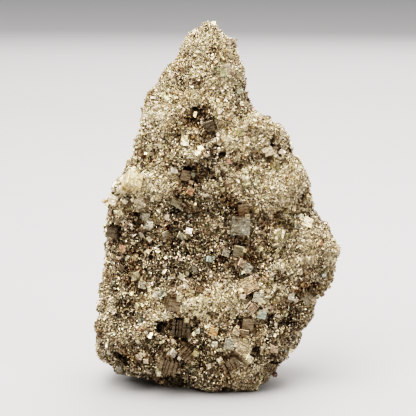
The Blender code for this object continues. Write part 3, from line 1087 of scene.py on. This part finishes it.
picks = free_sites(MIDDLING, MIDDLING_MARGIN)
edges = MM * spread(MIDDLING_EDGE, rng.random(len(picks)) ** MIDDLING_FEW_LONG)
kinds = rng.choice([FORM_NAMES.index(form) for form in MIDDLING_KINDS], size=len(picks))
sizes = edges[:, None] * rng.uniform(*MIDDLING_SIDES, (len(picks), 3))
lift = (edges * rng.uniform(0.0, MIDDLING_LIFT, len(picks)))[:, None]
middling = Copies(
    kinds=kinds,
    middles=sites[picks] + facings[picks] * lift,
    turns=random_turns(len(picks)),
    sizes=sizes,
    tints=tints_at(np.clip(tarnish_and_painted_light[picks] + MIDDLING_TARNISH, 0, 1)),
    dullness=rng.uniform(*MIDDLING_DULLNESS, len(picks)) + FRESH_DULLNESS * (1 - tarnish_and_painted_light[picks]),
)
middling_piece = joined("middling_crystals", FORMS, middling)

# %% Coarse grains
COARSE = 4200
COARSE_MARGIN = -0.3 * MM  # its middle may lie this deep in a large crystal
COARSE_KINDS = (0, 0, 0, 2)  # three cut blocks to a splinter
COARSE_EDGE = (1.2, 2.1)
COARSE_SIDES = (0.5, 1.15)
COARSE_LIFT = 0.35  # of the edge, at most
COARSE_DULLNESS = (0.14, 0.40)

picks = free_sites(COARSE, COARSE_MARGIN)
edges = MM * rng.uniform(*COARSE_EDGE, len(picks))
kinds = rng.choice(COARSE_KINDS, size=len(picks))
lift = (edges * rng.uniform(0.0, COARSE_LIFT, len(picks)))[:, None]
coarse = Copies(
    kinds=kinds,
    middles=sites[picks] + facings[picks] * lift,
    turns=random_turns(len(picks)),
    sizes=edges[:, None] * rng.uniform(*COARSE_SIDES, (len(picks), 3)),
    tints=tints_at(tarnish_and_painted_light[picks]),
    dullness=rng.uniform(*COARSE_DULLNESS, len(picks)) + FRESH_DULLNESS * (1 - tarnish_and_painted_light[picks]),
)
coarse_piece = joined("coarse_grains", grain_forms, coarse)

# %% [markdown]
# ## The coat of grains
#
# Most of what one sees is a coat of tiny crystals, about a millimetre across. There is one on
# most squares of the crust, turned at random, so that each facet catches a different light. The
# coat is split into pieces side by side, because one mesh of that size would be unhandy.

# %% Grains
GRAIN_SHARE = 0.80
GRAINS_LOST = 0.22  # in a full hollow
GRAIN_MARGIN = -0.25 * MM
GRAIN_KINDS = (0.36, 0.32, 0.32)  # cut blocks, corner pieces, splinters
GRAIN_EDGE = (0.62, 1.06)
GRAIN_FEW_LONG = 1.5
GRAIN_GROWTH = (0.9, 0.4)  # of the edge: on a bulge, and how much more in a hollow
GRAIN_SIDES = (0.5, 1.3)
GRAIN_ASIDE = 0.3
GRAIN_LIFT = 0.45
GRAIN_DULLNESS = (0.18, 0.38)
GRAIN_FRESH_DULLNESS = 0.12
GRAIN_STRETCH = ((1.0, 1.0, 1.0), (1.0, 1.0, 1.0), (0.65, 0.65, 1.9))  # the splinters are long
GRAIN_PIECES = 5

bare = rng.random(len(sites)) > GRAIN_SHARE - GRAINS_LOST * hollow
rows = np.flatnonzero(~bare & clear_of_large(sites, GRAIN_MARGIN))
edges = MM * spread(GRAIN_EDGE, rng.random(len(rows)) ** GRAIN_FEW_LONG)
edges *= GRAIN_GROWTH[0] + GRAIN_GROWTH[1] * hollow[rows]
jitter = rng.uniform(-GRAIN_ASIDE, GRAIN_ASIDE, (len(rows), 3)) * MM
lift = (rng.uniform(0.0, GRAIN_LIFT, len(rows)) * MM)[:, None]
kinds = rng.choice(3, size=len(rows), p=GRAIN_KINDS)
stretch = np.array(GRAIN_STRETCH)[kinds]
fresh = np.clip(1 - tarnish_and_painted_light[rows], 0, 1)
grains = Copies(
    kinds=kinds,
    middles=sites[rows] + jitter + facings[rows] * lift,
    turns=random_turns(len(rows)),
    sizes=edges[:, None] * rng.uniform(*GRAIN_SIDES, (len(rows), 3)) * stretch,
    tints=tints_at(tarnish_and_painted_light[rows]),
    dullness=rng.uniform(*GRAIN_DULLNESS, len(rows)) + GRAIN_FRESH_DULLNESS * fresh**2,
)
around = np.arctan2(grains.middles[:, 1], grains.middles[:, 0])
sector = np.argsort(np.argsort(around)) * GRAIN_PIECES // len(around)
coats = [
    joined(f"grain_coat_{number + 1}", grain_forms, grains.part(np.flatnonzero(sector == number)))
    for number in range(GRAIN_PIECES)
]

# %% [markdown]
# ## Writing a material as sums
#
# A material is a small calculation at every point of the surface. Wrapped in a class, a socket
# can be added and multiplied like a number, and each sign adds its Math node. Any other node
# comes from one method that takes its type, the values of its sockets and its settings.

# %% A socket that can be reckoned with
SEAM_FADE = 0.3  # of its width


class Amount:
    """What comes out of a node: a number, a place or a colour."""

    def __init__(self, finish, socket):
        self.finish = finish
        self.socket = socket

    def reckon(self, operation, other):
        values = {0: self, 1: other}
        return self.finish.node("ShaderNodeMath", values, operation=operation)["Value"]

    def __add__(self, other):
        return self.reckon("ADD", other)

    __radd__ = __add__

    def __sub__(self, other):
        return self.reckon("SUBTRACT", other)

    def __mul__(self, other):
        return self.reckon("MULTIPLY", other)

    def clamped(self):
        return self.finish.node("ShaderNodeClamp", {"Value": self})["Result"]


class Made:
    """A node that has just been made, with its outputs at hand."""

    def __init__(self, finish, node):
        self.finish = finish
        self.node = node

    def __getitem__(self, output):
        return Amount(self.finish, self.node.outputs[output])


class Finish:
    """A material and the means to build it."""

    def __init__(self, name, metallic):
        self.material = bpy.data.materials.new(name)
        self.material.use_nodes = True
        self.tree = self.material.node_tree
        self.shader = self.tree.nodes["Principled BSDF"]
        self.shader.inputs["Metallic"].default_value = metallic

    def set_socket(self, socket, value):
        if isinstance(value, Amount):
            self.tree.links.new(value.socket, socket)
        else:
            socket.default_value = value

    def node(self, kind, values=(), **settings):
        """A node with these settings, its sockets set to values or joined to other nodes."""
        made = self.tree.nodes.new(kind)
        for name, value in settings.items():
            setattr(made, name, value)
        for name, value in dict(values).items():
            self.set_socket(made.inputs[name], value)
        return Made(self, made)

    def place(self):
        """Where on the object a point is, in metres."""
        return self.node("ShaderNodeTexCoord")["Object"]

    def attribute(self, name, output="Fac"):
        """What the mesh keeps under this name."""
        return self.node("ShaderNodeAttribute", attribute_name=name)[output]

    def noise(self, place, size, detail=2.0, roughness=0.5):
        """A cloudy pattern, about this many metres from one cloud to the next."""
        values = {"Vector": place, "Scale": 1 / size, "Detail": detail, "Roughness": roughness}
        return self.node("ShaderNodeTexNoise", values)["Fac"]

    def between(self, operation, first, second, output="Vector"):
        """A sum of two vectors."""
        values = {0: first, 1: second}
        return self.node("ShaderNodeVectorMath", values, operation=operation)[output]

    def chips(self, place, size, tilt):
        """Small flat facets, each tilted its own way: their height in metres, and for each
        of them two chances between 0 and 1."""
        cells = self.node("ShaderNodeTexVoronoi", {"Vector": place, "Scale": 1 / size})
        within = self.between("SUBTRACT", place, cells["Position"])
        slope = self.between("SUBTRACT", cells["Color"], (0.5, 0.5, 0.5))
        height = self.between("DOT_PRODUCT", within, slope, "Value") * tilt
        dice = self.node("ShaderNodeTexWhiteNoise", {"Vector": cells["Position"]})
        parted = self.node("ShaderNodeSeparateColor", {"Color": dice["Color"]})
        return height, parted["Red"], parted["Green"]

    def seams(self, place, size, width):
        """1 in the seams between the chips of this size, painted dark as the shade in the gaps
        between grains, 0 on them.
        """
        values = {"Vector": place, "Scale": 1 / size}
        edges = self.node("ShaderNodeTexVoronoi", values, feature="DISTANCE_TO_EDGE")
        return self.steps(edges["Distance"], width, width * SEAM_FADE)

    def steps(self, value, low, high):
        """0 below low, 1 above high, smooth between."""
        values = {"Value": value, "From Min": low, "From Max": high}
        return self.node("ShaderNodeMapRange", values, interpolation_type="SMOOTHSTEP")["Result"]

    def blended(self, first, second, share, blend="MIX"):
        """Two colours, mixed by this share."""
        values = {"Factor": share, 6: first, 7: second}
        return self.node("ShaderNodeMix", values, data_type="RGBA", blend_type=blend)[2]

    def use(self, colour, roughness, height, strength=1.0, distance=1.0):
        """Puts these on the shader, the height as a bump."""
        values = {"Strength": strength, "Distance": distance, "Height": height}
        normal = self.node("ShaderNodeBump", values)["Normal"]
        for name, value in (("Base Color", colour), ("Roughness", roughness), ("Normal", normal)):
            self.set_socket(self.shader.inputs[name], value)


def seen(colour):
    """A colour with its opacity, as a socket wants it."""
    return (*colour, 1.0)


# %% [markdown]
# ## The crystals' finish
#
# Pyrite is a metal to look at. Its tint comes from each crystal's own colour, a cloudy film of
# tarnish lies over neighbouring crystals alike, and the faces have fine growth lines and small
# uneven spots. All of it is told by place, so it holds still from wherever one looks.

# %% Metal of the crystals
FILM_CLOUD = 14 * MM
FILM_EDGE = (0.48, 0.70)  # of the cloud pattern: where the film begins and is whole
FILM_DULLNESS = (0.54, 0.32)  # none on the palest crystals, a whole film on the glossy ones
FILM_TINT = (0.60, 0.48, 0.36)
FILM_SHARE = 0.9
SHADE_TINT = (0.16, 0.11, 0.06)
DARK_CHIPS = (0.30, 0.10)  # of the chances, the lowest are dark
DARK_LINES = (0.54, 0.42)  # and so is the lower half of the line pattern
SEAM = 0.10  # half a seam's width, as a share of the chip size
LINES_BY_MM = (1.5, 0.10, 0.0)  # close across the face, drawn out along it
SPOTS = 0.16  # how much the roughness varies from chip to chip,
SPOTS_BELOW = 0.06  # and how far under the crystal's dullness that begins
PALE_DULL = (0.40, 0.54)
PALE_CHIPS = 0.35  # how much deeper the chips are on the palest large crystals


def crystal_finish(name, chip_size, chip_tilt, even, chip_shade, seam_shade, line_height, line_shade):
    """A metal by each crystal's tint and dullness. The shades say how dark some of the chips,
    the seams and the growth lines are, and "even" is the depth of a glossy crystal's chips."""
    finish = Finish(name, metallic=1.0)
    place = finish.place()
    tint = finish.attribute("tint", "Color")
    dull = finish.attribute("dull")
    height, first, second = finish.chips(place, chip_size, chip_tilt)
    cloud = finish.steps(finish.noise(place, FILM_CLOUD, 3.0), *FILM_EDGE)
    film = cloud * finish.steps(dull, *FILM_DULLNESS)
    tarnished = finish.blended(tint, seen(FILM_TINT), film * FILM_SHARE, "MULTIPLY")
    dark_chips = finish.steps(first, *DARK_CHIPS) * chip_shade
    # painted shade: the seams between the chips are darkened like shaded gaps between grains
    seams = finish.seams(place, chip_size, SEAM) * seam_shade
    along = finish.node("ShaderNodeUVMap", uv_map="along")["UV"]
    lines = finish.noise(finish.between("MULTIPLY", along, LINES_BY_MM), 1.0, 3.0, 0.7)
    dark_lines = finish.steps(lines, *DARK_LINES) * line_shade
    shade = (dark_chips + seams + dark_lines).clamped()
    colour = finish.blended(tarnished, seen(SHADE_TINT), shade, "MULTIPLY")
    roughness = (dull + second * SPOTS - SPOTS_BELOW).clamped()
    chipped = height * (finish.steps(dull, *PALE_DULL) * PALE_CHIPS * (1 - even) + even)
    finish.use(colour, roughness, chipped + lines * line_height)
    return finish.material


grain_metal = crystal_finish(
    "grain_metal",
    chip_size=0.70 * MM,
    chip_tilt=1.5,
    even=1.0,
    chip_shade=0.7,
    seam_shade=0.8,
    line_height=0.02 * MM,
    line_shade=0.0,
)
crystal_metal = crystal_finish(
    "crystal_metal",
    chip_size=1.1 * MM,
    chip_tilt=1.1,
    even=0.2,
    chip_shade=0.25,
    seam_shade=0.25,
    line_height=0.15 * MM,
    line_shade=0.55,
)
for metal in (grain_metal, crystal_metal):
    print(metal.name, "is made of", len(metal.node_tree.nodes), "nodes")

# %% [markdown]
# ## The inner crust's finish
#
# Between the grains one looks into narrow gaps, which are nearly black, mostly from shade. The
# ground there is the same metal, in pale chips and brown ones. The brown is dark and dull, partly
# tarnish and partly painted shade that keeps the gaps dark, and on the front it follows the zones'
# painted light and shade.

# %% Metal of the inner crust
CRUST_PALE = ((0.36, 0.30, 0.20), (0.76, 0.67, 0.50))  # its darkest and its lightest chip
CRUST_BROWN_AND_SHADE = ((0.18, 0.135, 0.085), (0.58, 0.47, 0.32))
CRUST_PATCH = 4 * MM
CRUST_PATCH_EDGE = (0.35, 0.65)
CRUST_CHIP = 0.65 * MM
CRUST_TILT = 1.8
BROWN_BY_TARNISH, BROWN_BY_PATCH, BROWN_LESS = 1.6, 0.5, 0.3
CRUST_ROUGHNESS, CRUST_SPOTS = 0.25, 0.35


def crust_finish():
    """Pale chips, and brown ones where the crust is tarnished and in patches; the brown is partly
    painted shade in the gaps.
    """
    finish = Finish("crust_metal", metallic=1.0)
    place = finish.place()
    patches = finish.steps(finish.noise(place, CRUST_PATCH, 3.0), *CRUST_PATCH_EDGE)
    height, first, second = finish.chips(place, CRUST_CHIP, CRUST_TILT)
    tarnish_and_painted_light = finish.attribute("tarnish_and_painted_light")
    pale, brown = [
        finish.blended(seen(dark), seen(light), first) for dark, light in (CRUST_PALE, CRUST_BROWN_AND_SHADE)
    ]
    # brown by tarnish and in patches, partly painted shade; on the front the measure also carries
    # painted light and shade
    share = (tarnish_and_painted_light * BROWN_BY_TARNISH + patches * BROWN_BY_PATCH - BROWN_LESS).clamped()
    colour = finish.blended(pale, brown, share)
    finish.use(colour, CRUST_ROUGHNESS + second * CRUST_SPOTS, height)
    return finish.material


# %% Put the metals on and hang the pieces on the part
def dress(piece, metal):
    piece.data.materials.clear()
    piece.data.materials.append(metal)
    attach(piece, "root")


dress(crust, crust_finish())
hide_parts("pyrite_cluster")
dress(large_piece, crystal_metal)
dress(middling_piece, crystal_metal)
dress(coarse_piece, grain_metal)
for coat in coats:
    dress(coat, grain_metal)

# %% [markdown]
# ## Floor, light and camera
#
# The specimen stands on a plain floor, grey near it and painted paler further away: painted
# light where the lamps' light falls off, so that the far floor reads pale. A metal shows what is
# around it, so the lights are large and soft, with dark between them: a facet that mirrors a lamp
# flashes, and its neighbour goes dark.

# %% Floor
FLOOR_HALF = 8.0
FLOOR_GREYS = ((0.35, 0.347, 0.340), (0.38, 0.377, 0.370))
FLOOR_CLOUD = 0.4
# painted light: paler floor away from the specimen, where the lamps' light falls off
FLOOR_PAINTED_LIGHT_FAR = (0.92, 0.92, 0.92)
FLOOR_PAINTED_LIGHT_FADE = (1.0, 4.5)  # metres from the specimen: where it begins and where it ends
FLOOR_ROUGHNESS, FLOOR_SPOTS = 0.6, 0.1
FLOOR_BUMP = (0.05, 0.001)

bpy.ops.mesh.primitive_plane_add(size=2 * FLOOR_HALF, location=(0, 0, 0))
floor = bpy.context.object
floor.name = "floor"
floor_finish = Finish("floor_paint", metallic=0.0)
floor_place = floor_finish.place()
floor_cloud = floor_finish.noise(floor_place, FLOOR_CLOUD)
floor_near = floor_finish.blended(*map(seen, FLOOR_GREYS), floor_cloud)
floor_reach = floor_finish.between("DISTANCE", floor_place, (0.0, 0.0, 0.0), "Value")
floor_painted_light = floor_finish.steps(floor_reach, *FLOOR_PAINTED_LIGHT_FADE)
floor_colour = floor_finish.blended(floor_near, seen(FLOOR_PAINTED_LIGHT_FAR), floor_painted_light)
floor_roughness = FLOOR_ROUGHNESS + floor_cloud * FLOOR_SPOTS
floor_finish.use(floor_colour, floor_roughness, floor_cloud, *FLOOR_BUMP)
floor.data.materials.append(floor_finish.material)

# %% Lights
LAMP_COLOUR = (1.0, 0.965, 0.955)
LAMP_AIM = Vector((0, 0, 0.09))
LAMPS = (
    # name, place, width and height in metres, power in watts
    ("key_light", (-0.8, -1.1, 1.7), 1.8, 1.8, 70),
    ("right_light", (1.5, -1.2, 1.2), 1.0, 1.0, 12),
    ("top_light", (0.0, 0.2, 1.9), 2.0, 1.6, 60),
    ("left_rim", (-1.5, 1.1, 1.0), 0.8, 1.2, 9),
    ("right_rim", (1.4, 1.2, 1.0), 0.8, 1.2, 9),
    ("back_light", (0.3, 2.0, 1.3), 1.6, 1.2, 26),
)
SURROUNDINGS = (0.16, 0.16, 0.16, 1)
EXPOSURE = 0.44


def softbox(name, place, width, height, power):
    """A rectangular lamp that faces the middle of the specimen."""
    lamp = bpy.data.lights.new(name, "AREA")
    lamp.shape = "RECTANGLE"
    lamp.size = width
    lamp.size_y = height
    lamp.energy = power
    lamp.color = LAMP_COLOUR
    holder = in_scene(name, lamp)
    holder.location = place
    holder.rotation_euler = (LAMP_AIM - Vector(place)).to_track_quat("-Z", "Y").to_euler()


for lamp in LAMPS:
    softbox(*lamp)

world = bpy.data.worlds.new("studio")
world.use_nodes = True
background = world.node_tree.nodes["Background"]
background.inputs["Color"].default_value = SURROUNDINGS
background.inputs["Strength"].default_value = 1.0
bpy.context.scene.world = world
view = bpy.context.scene.view_settings
view.view_transform = "Filmic"
view.look = "High Contrast"
view.exposure = EXPOSURE
print(len(LAMPS), "lamps, seen at exposure", EXPOSURE)

# %% Camera
FRAME_PIXELS = 416
VIEW_DISTANCE = 0.80
VIEW_ELEVATION = math.radians(10)
VIEW_TARGET = Vector((0, 0, 0.0905))
LENS = 135.8
SHIFT_PIXELS = (-9.3, -1.5)

lens = bpy.data.cameras.new("camera")
lens.sensor_width = 36
lens.lens = LENS
lens.shift_x, lens.shift_y = (pixels / FRAME_PIXELS for pixels in SHIFT_PIXELS)
camera = in_scene("camera", lens)
back = Vector((0, -math.cos(VIEW_ELEVATION), math.sin(VIEW_ELEVATION)))
camera.location = VIEW_TARGET + back * VIEW_DISTANCE
camera.rotation_euler = (-back).to_track_quat("-Z", "Y").to_euler()
bpy.context.scene.camera = camera
